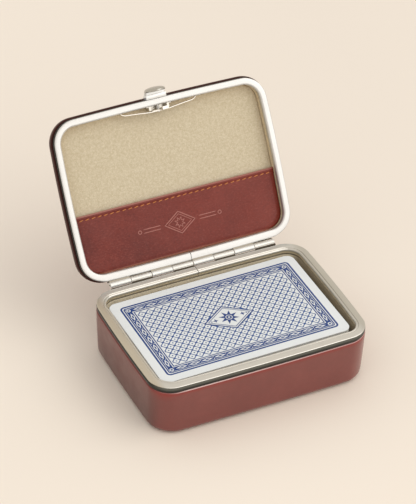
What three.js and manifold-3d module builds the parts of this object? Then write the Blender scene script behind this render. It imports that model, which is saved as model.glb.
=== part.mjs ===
// A leather playing card case, open for use: base, hinged lid, push-button latch and a deck of cards.
// Millimetres. +X runs along the hinge, +Y towards the hinge, +Z up.
// The origin is the middle of the base's underside.

import * as THREE from "three";
import { mergeVertices } from "three/addons/utils/BufferGeometryUtils.js";
import Module from "manifold-3d";

const wasm = await Module();
wasm.setup();

// Deck of bridge-size cards, which the case is made to hold
const cardLength = 88.9;
const cardWidth = 57.15;
const cardRadius = 3.5;
const cardThickness = 0.3;
const lowerPacketHeight = 9.6;
const upperPacketHeight = 7.4;
const cardGap = 0.1;
const endRoom = 2.5; // between the deck's ends and the case's inside
const sideRoom = 3.525; // between the deck's long sides and the case's inside
const deckHeadroom = 1.1; // from the deck to the top of the base's rim
const deckPlaceShares = [-0.436, -0.25]; // of the room at its ends and sides
const deckTurn = 0.64; // degrees
const packetShift = 0.2;

// Overall shape
const lidHeight = 8.2; // lid's rim to its outer top
const cornerRadius = 10.7; // seen from above
const sideBow = 0.4; // how far the middle of a side stands out past its ends
const lidOpenAngle = 122; // degrees from closed
const closedGap = 0.3; // between the two rims when the lid is closed
const seatGap = 0.25; // glue line or fit between neighbouring layers
const overrun = 1; // how far a cut runs past the face it opens

// Nickel channel that caps the edge of each half
const baseRimWidth = 4.2;
const lidRimWidth = 3.2;
const rimThickness = 0.7;
const rimOuterRadius = 0.35;
const rimInnerRadius = 0.9;
const flangeThickness = 0.7;
const baseFlangeDepth = 2.8;
const lidFlangeDepth = 2.2;
const frameJointGap = 0.2; // the butt joint at the middle of the rear side

// Dark band between the rim and the leather
const bandRecess = 0.3;
const bandThickness = 0.6;
const bandHeight = 1.85;

// Leather cover, board core and lining
const baseLeather = 1;
const lidLeather = 0.9;
const leatherEdgeRadius = 0.45;
const baseBottomRadius = 3.2;
const lidTopRadius = 3.7;
const lidSwell = 0.65; // how far the lid's padded side stands out past its rim
const baseCoreWall = 1.8;
const lidCoreWall = 1;
const baseCoreFloor = 2.8;
const lidCoreTop = 1;
const baseLining = 0.65;
const lidLining = 0.6;
const floorPadThickness = 2.8;
const floorPadRadius = 1;
const panelThickness = 0.6;

// Pocket inside the lid
const pocketHeight = 26.2;
const pocketThickness = 0.9;
const pocketSlot = 0.45; // the space behind the pocket
const pocketSeam = 3; // glued edge on three sides
const hemHeight = 1.4;
const hemStep = 0.35; // how far the turned edge stands proud of the pocket

// Hinge
const hingeOffset = 1.75; // from the outer face of the case to the pin's axis
const barrelRadius = 1.15;
const barrelBoreRadius = 0.78;
const pinRadius = 0.5;
const knuckleCount = 8;
const knucklePitch = 9.93;
const knuckleGap = 0.25;
const leafThickness = 0.5;
const leafHeight = 1.9;
const leafSetback = 0.95; // from the pin's axis to the near edge of the leaf's strip

// Latch
const blockLength = 10;
const blockDepth = 2.2;
const blockHeight = 3.4;
const blockRadius = 0.3;
const buttonRadius = 4.7;
const buttonStandoff = 1; // from the block to the underside of the button
const buttonRim = 0.5;
const buttonDome = 1.4;
const shaftRadius = 0.55;
const plugLength = 8.4; // the button's oblong plug, which slides in the block
const plugHeight = 2;
const plugBite = 0.35; // how far the plug stays inside the block at rest
const hookWidth = 6.8;
const hookThickness = 0.6;
const hookStep = 0.5; // from the lid's rim to the lower edge of the hook's wide part
const hookTop = 3.2;
const tongueStart = 0.3; // the tongue is to the right of the middle
const tongueWidth = 3;
const noseBite = 0.6; // how far the nose reaches under the base's flange
const noseHeight = 0.7;
const noseDrop = 1.8; // from the base's rim down to the nose
const guideLength = 9.8;
const guideBridge = 0.5;
const springSpan = 36;
const springThickness = 0.4;
const springHeight = 1.5;
const springFlat = 10; // straight middle, against the hook
const springEnd = 1.6; // length of each turned end

// How finely round shapes are stepped
const cornerSteps = 6;
const sideSteps = 4;
const edgeSteps = 4;
const barrelSides = 16;
const pinSides = 12;
const buttonSides = 28;
const domeSteps = 6;

// Places worked out from the sizes above
const baseCoreInset = baseLeather + seatGap;
const lidCoreInset = lidLeather + seatGap;
const baseLiningInset = baseCoreInset + baseCoreWall + seatGap;
const lidLiningInset = lidCoreInset + lidCoreWall + seatGap;
const baseInside = baseLiningInset + baseLining + seatGap;
const lidInside = lidLiningInset + lidLining + seatGap;
const baseFloorTop = baseLeather + seatGap + baseCoreFloor;
const padTop = baseFloorTop + seatGap + floorPadThickness;
const deckHeight = lowerPacketHeight + cardGap + upperPacketHeight + cardGap + cardThickness;
const caseLength = cardLength + 2 * (endRoom + baseInside); // outside, along the hinge
const caseDepth = cardWidth + 2 * (sideRoom + baseInside); // outside, front to hinge side
const baseHeight = padTop + cardGap + deckHeight + deckHeadroom;
const hingeY = caseDepth / 2 + hingeOffset;
const hingeZ = baseHeight + closedGap / 2;
const underRim = rimThickness + seatGap;
const leatherEdge = underRim + bandHeight + seatGap;
const lidCoreFace = lidHeight - lidLeather - seatGap;
const panelTop = lidCoreFace - lidCoreTop - seatGap;
const panelFace = panelTop - panelThickness;
const buttonHeight = blockHeight / 2;
const radians = THREE.MathUtils.degToRad;
const quarterTurn = Math.PI / 2;

const nickel = { color: 0xcfc8ba, roughness: 0.25, metalness: 1 };
const darkNickel = { color: 0x3a3c38, roughness: 0.3, metalness: 1 };
const oxblood = { color: 0x7e3a34, roughness: 0.4, metalness: 0 };
const board = { color: 0x9a8766, roughness: 0.9, metalness: 0 };
const tanFelt = { color: 0xb9a57c, roughness: 0.95, metalness: 0 };
const beigeFelt = { color: 0xcbbd9c, roughness: 0.95, metalness: 0 };
const paper = { color: 0xecebe6, roughness: 0.6, metalness: 0 };

// A closed solid from a geometry whose faces may not share their vertices yet.
function solidOf(geometry) {
  const bare = geometry.clone();
  bare.deleteAttribute("normal");
  bare.deleteAttribute("uv");
  const merged = mergeVertices(bare);
  const vertProperties = new Float32Array(merged.attributes.position.array);
  const triVerts = new Uint32Array(merged.index.array);
  return new wasm.Manifold(new wasm.Mesh({ numProp: 3, vertProperties, triVerts }));
}

function geometryOf(solid) {
  const made = solid.getMesh();
  const places = new Float32Array(made.numVert * 3);
  for (let i = 0; i < made.numVert; i += 1) {
    const start = i * made.numProp;
    places.set(made.vertProperties.subarray(start, start + 3), i * 3);
  }
  const geometry = new THREE.BufferGeometry();
  geometry.setAttribute("position", new THREE.BufferAttribute(places, 3));
  geometry.setIndex(new THREE.BufferAttribute(new Uint32Array(made.triVerts), 1));
  geometry.computeVertexNormals();
  return geometry;
}

function joined(...geometries) {
  return geometryOf(geometries.map(solidOf).reduce((sum, next) => sum.add(next)));
}

function cut(geometry, ...tools) {
  return geometryOf(tools.reduce((left, tool) => left.subtract(solidOf(tool)), solidOf(geometry)));
}

function common(geometry, other) {
  return geometryOf(solidOf(geometry).intersect(solidOf(other)));
}

// A box from its lowest to its highest corner.
function boxBetween([x0, y0, z0], [x1, y1, z1]) {
  const box = new THREE.BoxGeometry(x1 - x0, y1 - y0, z1 - z0);
  return box.translate((x0 + x1) / 2, (y0 + y1) / 2, (z0 + z1) / 2);
}

// The case's outline from above, drawn in from its outer face: bowed sides between round corners.
function outline(inset) {
  const radius = cornerRadius - inset;
  const x = caseLength / 2 - sideBow - cornerRadius;
  const y = caseDepth / 2 - sideBow - cornerRadius;
  const centres = [[x, y], [-x, y], [-x, -y], [x, -y]];
  const corners = centres.map(([cx, cy], i) => {
    const start = i * quarterTurn;
    const arc = new THREE.EllipseCurve(cx, cy, radius, radius, start, start + quarterTurn);
    return arc.getPoints(cornerSteps);
  });
  const points = [];
  for (let i = 0; i < corners.length; i += 1) {
    const from = corners[i].at(-1);
    const to = corners[(i + 1) % corners.length][0];
    const middle = from.clone().lerp(to, 1 / 2);
    const outwards = new THREE.Vector2(Math.cos((i + 1) * quarterTurn), Math.sin((i + 1) * quarterTurn));
    middle.addScaledVector(outwards, 2 * sideBow);
    const side = new THREE.QuadraticBezierCurve(from, middle, to);
    points.push(...corners[i], ...side.getPoints(sideSteps).slice(1, -1));
  }
  return points;
}

// Joins outlines at the given insets and heights into one skin. The profile has the solid on its left
// as it runs from one end to the other. A closed profile makes a ring, and an open one gets a flat
// cap over its first and last outlines.
function loft(profile, closed) {
  const loops = profile.map(([inset]) => outline(inset));
  const count = loops[0].length;
  const places = loops.flatMap((loop, i) => loop.flatMap((p) => [p.x, p.y, profile[i][1]]));
  const faces = [];
  const bands = closed ? loops.length : loops.length - 1;
  for (let i = 0; i < bands; i += 1) {
    const next = (i + 1) % loops.length;
    for (let j = 0; j < count; j += 1) {
      const a = i * count + j;
      const b = i * count + ((j + 1) % count);
      const c = next * count + j;
      const d = next * count + ((j + 1) % count);
      faces.push(a, b, d, a, d, c);
    }
  }
  if (!closed) {
    const last = (loops.length - 1) * count;
    for (const [a, b, c] of THREE.ShapeUtils.triangulateShape(loops[0], [])) {
      faces.push(a, c, b);
    }
    for (const [a, b, c] of THREE.ShapeUtils.triangulateShape(loops.at(-1), [])) {
      faces.push(last + a, last + b, last + c);
    }
  }
  const geometry = new THREE.BufferGeometry();
  geometry.setAttribute("position", new THREE.Float32BufferAttribute(places, 3));
  geometry.setIndex(faces);
  geometry.computeVertexNormals();
  return geometry;
}

const ring = (profile) => loft(profile, true);
const shell = (profile) => loft(profile, false);

// Points of a round in a profile about its centre, between two angles in degrees.
function round([inset, height], radius, from, to) {
  const points = [];
  for (let i = 0; i <= edgeSteps; i += 1) {
    const angle = radians(from + ((to - from) * i) / edgeSteps);
    points.push([inset + radius * Math.cos(angle), height + radius * Math.sin(angle)]);
  }
  return points;
}

// A profile drawn for a rim at the height zero that faces up, put at its height in the base.
function onBase(profile) {
  return profile.map(([inset, height]) => [inset, height + baseHeight]);
}

// The same profile turned over, for the lid's rim, which faces down.
function onLid(profile) {
  return profile.map(([inset, height]) => [inset, -height]).reverse();
}

function frameProfile(width, flangeDepth) {
  return [
    [width - flangeThickness, -flangeDepth],
    [width, -flangeDepth],
    ...round([width - rimInnerRadius, -rimInnerRadius], rimInnerRadius, 0, 90),
    ...round([rimOuterRadius, -rimOuterRadius], rimOuterRadius, 90, 180),
    [0, -rimThickness],
    [width - flangeThickness, -rimThickness],
  ].reverse();
}

function bandProfile() {
  return [
    [bandRecess, -underRim - bandHeight],
    [bandRecess, -underRim],
    [bandRecess + bandThickness, -underRim],
    [bandRecess + bandThickness, -underRim - bandHeight],
  ];
}

// The gap between the ends of a channel, through all of its rear side.
function rearJoint(rimWidth, low, high) {
  const half = frameJointGap / 2;
  return boxBetween(
    [-half, caseDepth / 2 - rimWidth - overrun, low - overrun],
    [half, caseDepth / 2 + overrun, high + overrun],
  );
}

// Latch places, in the lid's own place: the latch slides towards the hinge, along +Y.
const latchFront = -caseDepth / 2;
const flangeFace = latchFront + lidRimWidth;
const hookFace = latchFront + baseRimWidth + seatGap;
const hookBack = hookFace + hookThickness;
const springFace = hookBack + seatGap;
const buttonBack = latchFront - seatGap - blockDepth - buttonStandoff;
const noseTop = -closedGap - noseDrop;
const noseLow = noseTop - noseHeight;

// The passage for the latch's shaft, from the block to the hook.
function shaftHole() {
  const radius = shaftRadius + seatGap;
  const front = buttonBack - overrun;
  const back = hookBack + overrun;
  const hole = new THREE.CylinderGeometry(radius, radius, back - front, pinSides);
  return hole.translate(0, (front + back) / 2, buttonHeight);
}

function baseLeatherCover() {
  const top = baseHeight - leatherEdge;
  const radius = baseBottomRadius;
  return shell([
    ...round([radius, radius], radius, 270, 180),
    ...round([leatherEdgeRadius, top - leatherEdgeRadius], leatherEdgeRadius, 180, 90),
    [baseLeather, top],
    ...round([radius, radius], radius - baseLeather, 180, 270),
  ]);
}

function baseCore() {
  const top = baseHeight - underRim;
  const inner = baseCoreInset + baseCoreWall;
  return shell([
    ...round([baseBottomRadius, baseBottomRadius], baseBottomRadius - baseCoreInset, 270, 180),
    [baseCoreInset, top],
    [inner, top],
    [inner, baseFloorTop],
  ]);
}

function baseWallLining() {
  const top = baseHeight - baseFlangeDepth - seatGap;
  const low = baseFloorTop + seatGap;
  return ring([
    [baseLiningInset, low],
    [baseLiningInset, top],
    [baseLiningInset + baseLining, top],
    [baseLiningInset + baseLining, low],
  ]);
}

function baseFloorPad() {
  return shell([
    [baseInside, baseFloorTop + seatGap],
    ...round([baseInside + floorPadRadius, padTop - floorPadRadius], floorPadRadius, 180, 90),
  ]);
}

function baseFrame() {
  const whole = ring(onBase(frameProfile(baseRimWidth, baseFlangeDepth)));
  const front = -caseDepth / 2 + baseRimWidth;
  const notch = boxBetween(
    [tongueStart - seatGap, front - flangeThickness - seatGap, baseHeight - baseFlangeDepth - overrun],
    [tongueStart + tongueWidth + seatGap, front + overrun, baseHeight - noseDrop + seatGap],
  );
  return cut(whole, rearJoint(baseRimWidth, baseHeight - baseFlangeDepth, baseHeight), notch);
}

function baseTrimBand() {
  return ring(onBase(bandProfile()));
}

// The lid is built closed, with its rim at the height zero.

// The leather's edge is notched round the latch's block.
function lidLeatherCover() {
  const centre = [lidTopRadius, lidHeight - lidTopRadius];
  const half = blockLength / 2 + seatGap;
  const notch = boxBetween(
    [-half, latchFront - lidSwell - overrun, leatherEdge - overrun],
    [half, latchFront, blockHeight + seatGap],
  );
  const cover = shell([
    ...round(centre, lidTopRadius - lidLeather, 90, 180),
    [lidLeather, leatherEdge],
    ...round([leatherEdgeRadius - lidSwell, leatherEdge + leatherEdgeRadius], leatherEdgeRadius, 270, 180),
    ...round([lidTopRadius - lidSwell, lidHeight - lidTopRadius], lidTopRadius, 180, 90),
  ]);
  return cut(cover, notch);
}

function lidCore() {
  const inner = lidCoreInset + lidCoreWall;
  const centre = [lidTopRadius, lidHeight - lidTopRadius];
  const body = shell([
    [inner, lidCoreFace - lidCoreTop],
    [inner, underRim],
    [lidCoreInset, underRim],
    ...round(centre, lidTopRadius - lidCoreInset, 180, 90),
  ]);
  return cut(body, shaftHole());
}

function lidWallLining() {
  const low = lidFlangeDepth + seatGap;
  const inner = lidLiningInset + lidLining;
  const body = ring([
    [lidLiningInset, low],
    [lidLiningInset, panelTop],
    [inner, panelTop],
    [inner, low],
  ]);
  return cut(body, shaftHole());
}

function lidLiningPanel() {
  return shell([
    [lidInside, panelFace],
    [lidInside, panelTop],
  ]);
}

// The pocket is open along its edge nearest the latch, where the leather is turned over.
function pocketPanel() {
  const back = panelFace - seatGap;
  const slotTop = back - pocketSlot;
  const face = slotTop - pocketThickness;
  const rear = caseDepth / 2 - lidInside;
  const edge = rear - pocketHeight;
  const side = caseLength / 2 - lidInside;
  const slab = shell([
    [lidInside, face - hemStep],
    [lidInside, back],
  ]);
  const kept = boxBetween([-side, edge, face - hemStep - overrun], [side, rear + overrun, back + overrun]);
  const belowHem = boxBetween(
    [-side - overrun, edge + hemHeight, face - hemStep - overrun],
    [side + overrun, rear + overrun, face],
  );
  const slot = boxBetween(
    [-side + pocketSeam, edge - overrun, slotTop],
    [side - pocketSeam, rear - pocketSeam, back + overrun],
  );
  return cut(common(slab, kept), belowHem, slot);
}

function lidFrame() {
  const whole = ring(onLid(frameProfile(lidRimWidth, lidFlangeDepth)));
  return cut(whole, rearJoint(lidRimWidth, 0, lidFlangeDepth), shaftHole());
}

function lidTrimBand() {
  return cut(ring(onLid(bandProfile())), shaftHole());
}

// A rod along the hinge's axis from one place to another.
function rod(radius, x0, x1, sides) {
  const made = new THREE.CylinderGeometry(radius, radius, x1 - x0, sides);
  return made.rotateZ(quarterTurn).translate((x0 + x1) / 2, 0, 0);
}

// A leaf about the pin's axis: a strip behind the rim and every second knuckle curled round the pin.
function hingeLeaf(firstKnuckle, side) {
  const half = (knuckleCount * knucklePitch - knuckleGap) / 2;
  const faceY = -hingeOffset + seatGap;
  const backY = faceY + leafThickness;
  const near = side * leafSetback;
  const far = side * (leafSetback + leafHeight);
  const strip = boxBetween([-half, faceY, Math.min(near, far)], [half, backY, Math.max(near, far)]);
  const pieces = [strip];
  for (let i = firstKnuckle; i < knuckleCount; i += 2) {
    const x0 = -half + i * knucklePitch;
    const x1 = x0 + knucklePitch - knuckleGap;
    pieces.push(rod(barrelRadius, x0, x1, barrelSides));
    pieces.push(boxBetween([x0, faceY, Math.min(0, far)], [x1, backY, Math.max(0, far)]));
  }
  return cut(joined(...pieces), rod(barrelBoreRadius, -half - overrun, half + overrun, pinSides));
}

function hingePin() {
  const half = (knuckleCount * knucklePitch - knuckleGap) / 2;
  return rod(pinRadius, -half, half, pinSides);
}

// The oblong plug from one place to another along the latch's travel, grown by a gap for its pocket.
function plug(front, back, gap) {
  const x = plugLength / 2 + gap;
  const z = plugHeight / 2 + gap;
  return boxBetween([-x, front, buttonHeight - z], [x, back, buttonHeight + z]);
}

function claspBlock() {
  const shape = new THREE.Shape();
  const x = blockLength / 2 - blockRadius;
  const z = blockHeight / 2 - blockRadius;
  shape.absarc(x, z, blockRadius, 0, quarterTurn);
  shape.absarc(-x, z, blockRadius, quarterTurn, 2 * quarterTurn);
  shape.absarc(-x, -z, blockRadius, 2 * quarterTurn, 3 * quarterTurn);
  shape.absarc(x, -z, blockRadius, 3 * quarterTurn, 4 * quarterTurn);
  const block = new THREE.ExtrudeGeometry(shape, {
    depth: blockDepth,
    bevelEnabled: false,
    curveSegments: edgeSteps,
  });
  block.rotateX(quarterTurn);
  block.translate(0, latchFront - seatGap, buttonHeight);
  const front = latchFront - seatGap - blockDepth;
  const floor = front + plugBite + buttonStandoff + seatGap;
  return cut(block, shaftHole(), plug(front - overrun, floor, seatGap));
}

// A small bridge behind the flange that keeps the hook in line.
function claspGuide() {
  const half = guideLength / 2;
  const inside = hookWidth / 2 + seatGap;
  const bridgeLow = hookTop + seatGap;
  const front = flangeFace + seatGap;
  const outer = boxBetween([-half, front, seatGap], [half, hookBack, bridgeLow + guideBridge]);
  const hollow = boxBetween([-inside, front - overrun, seatGap - overrun], [inside, hookBack + overrun, bridgeLow]);
  return cut(outer, hollow);
}

// The button is turned about its own axis, with its dome towards the front.
function pushButton() {
  const points = [new THREE.Vector2(0, 0), new THREE.Vector2(buttonRadius, 0)];
  for (let i = 0; i < domeSteps; i += 1) {
    const angle = (quarterTurn * i) / domeSteps;
    const height = buttonRim + buttonDome * Math.sin(angle);
    points.push(new THREE.Vector2(buttonRadius * Math.cos(angle), height));
  }
  points.push(new THREE.Vector2(0, buttonRim + buttonDome));
  const dome = new THREE.LatheGeometry(points, buttonSides);
  return dome.rotateX(2 * quarterTurn).translate(0, buttonBack, buttonHeight);
}

function buttonShaft() {
  const front = buttonBack + seatGap;
  const shaft = new THREE.CylinderGeometry(shaftRadius, shaftRadius, hookBack - front, pinSides);
  shaft.translate(0, (front + hookBack) / 2, buttonHeight);
  return joined(shaft, plug(front, buttonBack + buttonStandoff + plugBite, 0));
}

function latchHook() {
  const half = hookWidth / 2;
  const tongueEnd = tongueStart + tongueWidth;
  const plate = boxBetween([-half, hookFace, hookStep], [half, hookBack, hookTop]);
  const tongue = boxBetween([tongueStart, hookFace, noseLow], [tongueEnd, hookBack, hookTop]);
  const nose = boxBetween([tongueStart, hookFace - seatGap - noseBite, noseLow], [tongueEnd, hookBack, noseTop]);
  return cut(joined(plate, tongue, nose), shaftHole());
}

// A strip stood on edge: flat against the hook, then out to two turned ends near the flange.
function leafSpring() {
  const end = springSpan / 2;
  const bend = end - springEnd;
  const flat = springFlat / 2;
  const tip = flangeFace + seatGap;
  const line = [
    [-end, tip],
    [-bend, tip + springThickness],
    [-flat, springFace],
    [flat, springFace],
    [bend, tip + springThickness],
    [end, tip],
  ];
  const shape = new THREE.Shape(line.map(([x, y]) => new THREE.Vector2(x, y)));
  for (const [x, y] of line.toReversed()) {
    shape.lineTo(x, y + springThickness);
  }
  const strip = new THREE.ExtrudeGeometry(shape, { depth: springHeight, bevelEnabled: false });
  return strip.translate(0, 0, buttonHeight - springHeight / 2);
}

function cardBlock(thickness) {
  const x = cardLength / 2 - cardRadius;
  const y = cardWidth / 2 - cardRadius;
  const shape = new THREE.Shape();
  shape.absarc(x, y, cardRadius, 0, quarterTurn);
  shape.absarc(-x, y, cardRadius, quarterTurn, 2 * quarterTurn);
  shape.absarc(-x, -y, cardRadius, 2 * quarterTurn, 3 * quarterTurn);
  shape.absarc(x, -y, cardRadius, 3 * quarterTurn, 4 * quarterTurn);
  return new THREE.ExtrudeGeometry(shape, {
    depth: thickness,
    bevelEnabled: false,
    curveSegments: edgeSteps,
  });
}

function piece(name, geometry, look) {
  const mesh = new THREE.Mesh(geometry, new THREE.MeshStandardMaterial(look));
  mesh.name = name;
  return mesh;
}

function base() {
  const hinge = new THREE.Group();
  hinge.position.set(0, hingeY, hingeZ);
  hinge.add(piece("base_hinge_leaf", hingeLeaf(1, -1), nickel));
  hinge.add(piece("hinge_pin", hingePin(), nickel));
  const group = new THREE.Group();
  group.add(piece("base_leather_cover", baseLeatherCover(), oxblood));
  group.add(piece("base_core", baseCore(), board));
  group.add(piece("base_wall_lining", baseWallLining(), tanFelt));
  group.add(piece("base_floor_pad", baseFloorPad(), tanFelt));
  group.add(piece("base_frame", baseFrame(), nickel));
  group.add(piece("base_trim_band", baseTrimBand(), darkNickel));
  group.add(hinge);
  return group;
}

function latch() {
  const group = new THREE.Group();
  group.add(piece("push_button", pushButton(), nickel));
  group.add(piece("button_shaft", buttonShaft(), nickel));
  group.add(piece("latch_hook", latchHook(), nickel));
  group.add(piece("leaf_spring", leafSpring(), nickel));
  return group;
}

function lid() {
  const half = new THREE.Group();
  half.position.set(0, -hingeY, closedGap / 2);
  half.add(piece("lid_leather_cover", lidLeatherCover(), oxblood));
  half.add(piece("lid_core", lidCore(), board));
  half.add(piece("lid_wall_lining", lidWallLining(), tanFelt));
  half.add(piece("lid_lining_panel", lidLiningPanel(), beigeFelt));
  half.add(piece("pocket_panel", pocketPanel(), oxblood));
  half.add(piece("lid_frame", lidFrame(), nickel));
  half.add(piece("lid_trim_band", lidTrimBand(), darkNickel));
  half.add(piece("clasp_block", claspBlock(), nickel));
  half.add(piece("clasp_guide", claspGuide(), nickel));
  half.add(latch());
  const group = new THREE.Group();
  group.position.set(0, hingeY, hingeZ);
  group.rotation.x = -radians(lidOpenAngle);
  group.add(half, piece("lid_hinge_leaf", hingeLeaf(0, 1), nickel));
  return group;
}

function deck() {
  const lower = piece("card_packet_lower", cardBlock(lowerPacketHeight), paper);
  lower.position.x = packetShift;
  const upper = piece("card_packet_upper", cardBlock(upperPacketHeight), paper);
  upper.position.set(0, packetShift, lowerPacketHeight + cardGap);
  const top = piece("top_card", cardBlock(cardThickness), paper);
  top.position.z = upper.position.z + upperPacketHeight + cardGap;
  const group = new THREE.Group();
  const [shareX, shareY] = deckPlaceShares;
  group.position.set(shareX * endRoom, shareY * sideRoom, padTop + cardGap);
  group.rotation.z = radians(deckTurn);
  group.add(lower, upper, top);
  return group;
}

const cardCase = new THREE.Group();
cardCase.add(base(), lid(), deck());

export default cardCase;
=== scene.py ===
"""A leather playing card case, open for use, dressed over its CAD frame."""

import math
import random

import bmesh
import bpy
from mathutils import Matrix, Vector


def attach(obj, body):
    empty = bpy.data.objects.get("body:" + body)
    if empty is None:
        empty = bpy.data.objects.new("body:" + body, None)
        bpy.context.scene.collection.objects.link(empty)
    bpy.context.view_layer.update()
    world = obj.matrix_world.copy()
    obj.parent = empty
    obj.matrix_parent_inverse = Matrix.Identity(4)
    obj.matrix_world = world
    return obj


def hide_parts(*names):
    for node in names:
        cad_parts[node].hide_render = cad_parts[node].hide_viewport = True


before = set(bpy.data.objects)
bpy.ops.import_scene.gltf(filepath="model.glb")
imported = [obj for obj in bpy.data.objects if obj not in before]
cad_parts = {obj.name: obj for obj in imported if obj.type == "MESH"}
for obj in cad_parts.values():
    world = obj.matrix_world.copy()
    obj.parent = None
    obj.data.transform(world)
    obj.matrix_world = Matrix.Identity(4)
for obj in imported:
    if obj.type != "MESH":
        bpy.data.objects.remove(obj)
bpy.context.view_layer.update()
MM = 0.001

# Sizes of the case in millimetres, as in its CAD model
LENGTH, DEPTH, HEIGHT = 102.3, 72.6, 25.8
FRONT = -DEPTH / 2
LID_HEIGHT = 8.2
CORNER = 10.7
BOW = 0.4
CENTRE_X, CENTRE_Y = LENGTH / 2 - BOW - CORNER, DEPTH / 2 - BOW - CORNER
OPEN_ANGLE = 122.0
CLOSED_GAP = 0.3
BASE_RIM, LID_RIM = 4.2, 3.2
RIM_THICK = 0.35
BASE_FLANGE, LID_FLANGE = 2.8, 2.2
BUTT_JOINT = 0.24
LEATHER_EDGE = 2.7
HINGE_Y = DEPTH / 2 + 1.75
HINGE_Z = HEIGHT + CLOSED_GAP / 2
BARREL = 1.15
KNUCKLES, PITCH, KNUCKLE_GAP = 8, 9.93, 0.25
HINGE_HALF = (KNUCKLES * PITCH - KNUCKLE_GAP) / 2
FLOOR_TOP = 4.05
PAD_TOP = 7.1
PANEL_FACE = 5.2
PANEL_TOP = 5.8
CARD = (88.9, 57.15)
CARD_RADIUS = 3.5
DECK_X, DECK_Y, DECK_TURN = -1.09, -0.88, 0.64

# The same, where only this model has them
RIM_REACH, RIM_SETBACK = 0.8, 0.3
LID_SWELL = 0.65
LID_ROUND = 3.7
PAD_ROUND = 9.5
POCKET_EDGE = 6.15
POCKET_INSET = 3.1
POCKET_CORNER = CORNER - POCKET_INSET
POCKET_REAR = DEPTH / 2 - POCKET_INSET
LATCH_X, LATCH_Z = -0.35, 1.7
BLOCK_FACE = FRONT - 0.25 - 1.6
BUTTON_BACK = BLOCK_FACE - 1.1
TOP = PAD_TOP + 17.6

# The lid and its latch are drawn closed, in the lid's own place, and turned open
HINGE_BASE = Matrix.Translation((0, HINGE_Y * MM, HINGE_Z * MM))
HINGE_LID = HINGE_BASE @ Matrix.Rotation(-math.radians(OPEN_ANGLE), 4, "X")
LID = HINGE_LID @ Matrix.Translation((0, -HINGE_Y * MM, CLOSED_GAP / 2 * MM))
DECK = (
    Matrix.Translation((DECK_X * MM, DECK_Y * MM, 0))
    @ Matrix.Rotation(math.radians(DECK_TURN), 4, "Z")
)
PLACES = {"base": Matrix(), "lid": LID, "latch": LID, "deck": DECK}
CORNERS = ((1, 1), (-1, 1), (-1, -1), (1, -1))


# Shapes, each as its vertices in millimetres and its faces

def around(x, y, radius, angle):
    """The point at a radius and an angle from a centre."""
    return (x + radius * math.cos(angle), y + radius * math.sin(angle))


def arc(cx, cy, radius, start, end, steps):
    """Points of an arc, with angles in degrees."""
    return [
        around(cx, cy, radius, math.radians(start + (end - start) * i / steps))
        for i in range(steps + 1)
    ]


def rounded(cx, cy, radius, steps=8):
    """A rounded oblong about the origin, from the place of its corners' centres."""
    points = []
    for i, (sx, sy) in enumerate(CORNERS):
        points += arc(sx * cx, sy * cy, radius, i * 90, i * 90 + 90, steps)
    return points


def outline(inset, side_steps=20, corner_steps=14):
    """Points round the case, drawn in by the inset, starting at the right side."""
    radius = CORNER - inset
    tilt_side = 2 * BOW / (CENTRE_Y + radius * 2 * BOW / CENTRE_Y)
    tilt_end = 2 * BOW / (CENTRE_X + radius * 2 * BOW / CENTRE_X)
    centres = [(sx * CENTRE_X, sy * CENTRE_Y) for sx, sy in CORNERS]
    points = []
    for i, centre_point in enumerate(centres):
        first, last = (tilt_side, tilt_end) if i % 2 == 0 else (tilt_end, tilt_side)
        start = i * math.pi / 2 + first
        sweep = math.pi / 2 - first - last
        for k in range(corner_steps + 1):
            points.append(around(*centre_point, radius, start + sweep * k / corner_steps))
        a = (i + 1) * math.pi / 2
        here, to = points[-1], around(*centres[(i + 1) % 4], radius, a + last)
        for k in range(1, side_steps):
            t = k / side_steps
            rise = 4 * BOW * t * (1 - t)
            points.append((
                here[0] + (to[0] - here[0]) * t + math.cos(a) * rise,
                here[1] + (to[1] - here[1]) * t + math.sin(a) * rise,
            ))
    return points


def skin(rows, wrap_rows=False, wrap_columns=True, cap_first=False, cap_last=False):
    """A surface through rows with equal numbers of points."""
    count = len(rows[0])
    verts = [p for row in rows for p in row]
    faces = []
    for i in range(len(rows) if wrap_rows else len(rows) - 1):
        a = i * count
        b = ((i + 1) % len(rows)) * count
        for j in range(count if wrap_columns else count - 1):
            k = (j + 1) % count
            faces.append((a + j, a + k, b + k, b + j))
    if cap_first:
        faces.append(tuple(range(count))[::-1])
    if cap_last:
        start = (len(rows) - 1) * count
        faces.append(tuple(range(start, start + count)))
    return verts, faces


def capped(rows):
    return skin(rows, cap_first=True, cap_last=True)


def outline_rows(profile, move=None, side_steps=20):
    """Rows of outline points along a profile of inset and height."""
    rows = [[(x, y, z) for x, y in outline(inset, side_steps)] for inset, z in profile]
    return [[move(*p) for p in row] for row in rows] if move else rows


def open_ring(profile, move, side_steps=20):
    """A ring along the outline that ends in a narrow butt joint at the rear middle."""
    rows = []
    for inset, z in profile:
        points = outline(inset, side_steps)
        middle = max(range(len(points)), key=lambda i: points[i][1] - abs(points[i][0]) * 0.001)
        y = points[middle][1]
        opened = [(-BUTT_JOINT / 2, y)] + points[middle + 1:] + points[:middle]
        opened.append((BUTT_JOINT / 2, y))
        rows.append([(*move(px, py, inset), z) for px, py in opened])
    verts, faces = skin(rows, wrap_rows=True, wrap_columns=False)
    count, width = len(rows), len(rows[0])
    faces.append(tuple(i * width for i in range(count)))
    faces.append(tuple((count - 1 - i) * width + width - 1 for i in range(count)))
    return verts, faces


def prism(points, x0, x1):
    """A solid along X from an outline in Y and Z."""
    count = len(points)
    verts = [(x0, y, z) for y, z in points] + [(x1, y, z) for y, z in points]
    faces = [(i, (i + 1) % count, count + (i + 1) % count, count + i) for i in range(count)]
    faces.append(tuple(range(count))[::-1])
    faces.append(tuple(range(count, 2 * count)))
    return verts, faces


def box(low, high):
    (x0, y0, z0), (x1, y1, z1) = low, high
    return prism([(y0, z0), (y1, z0), (y1, z1), (y0, z1)], x0, x1)


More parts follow.
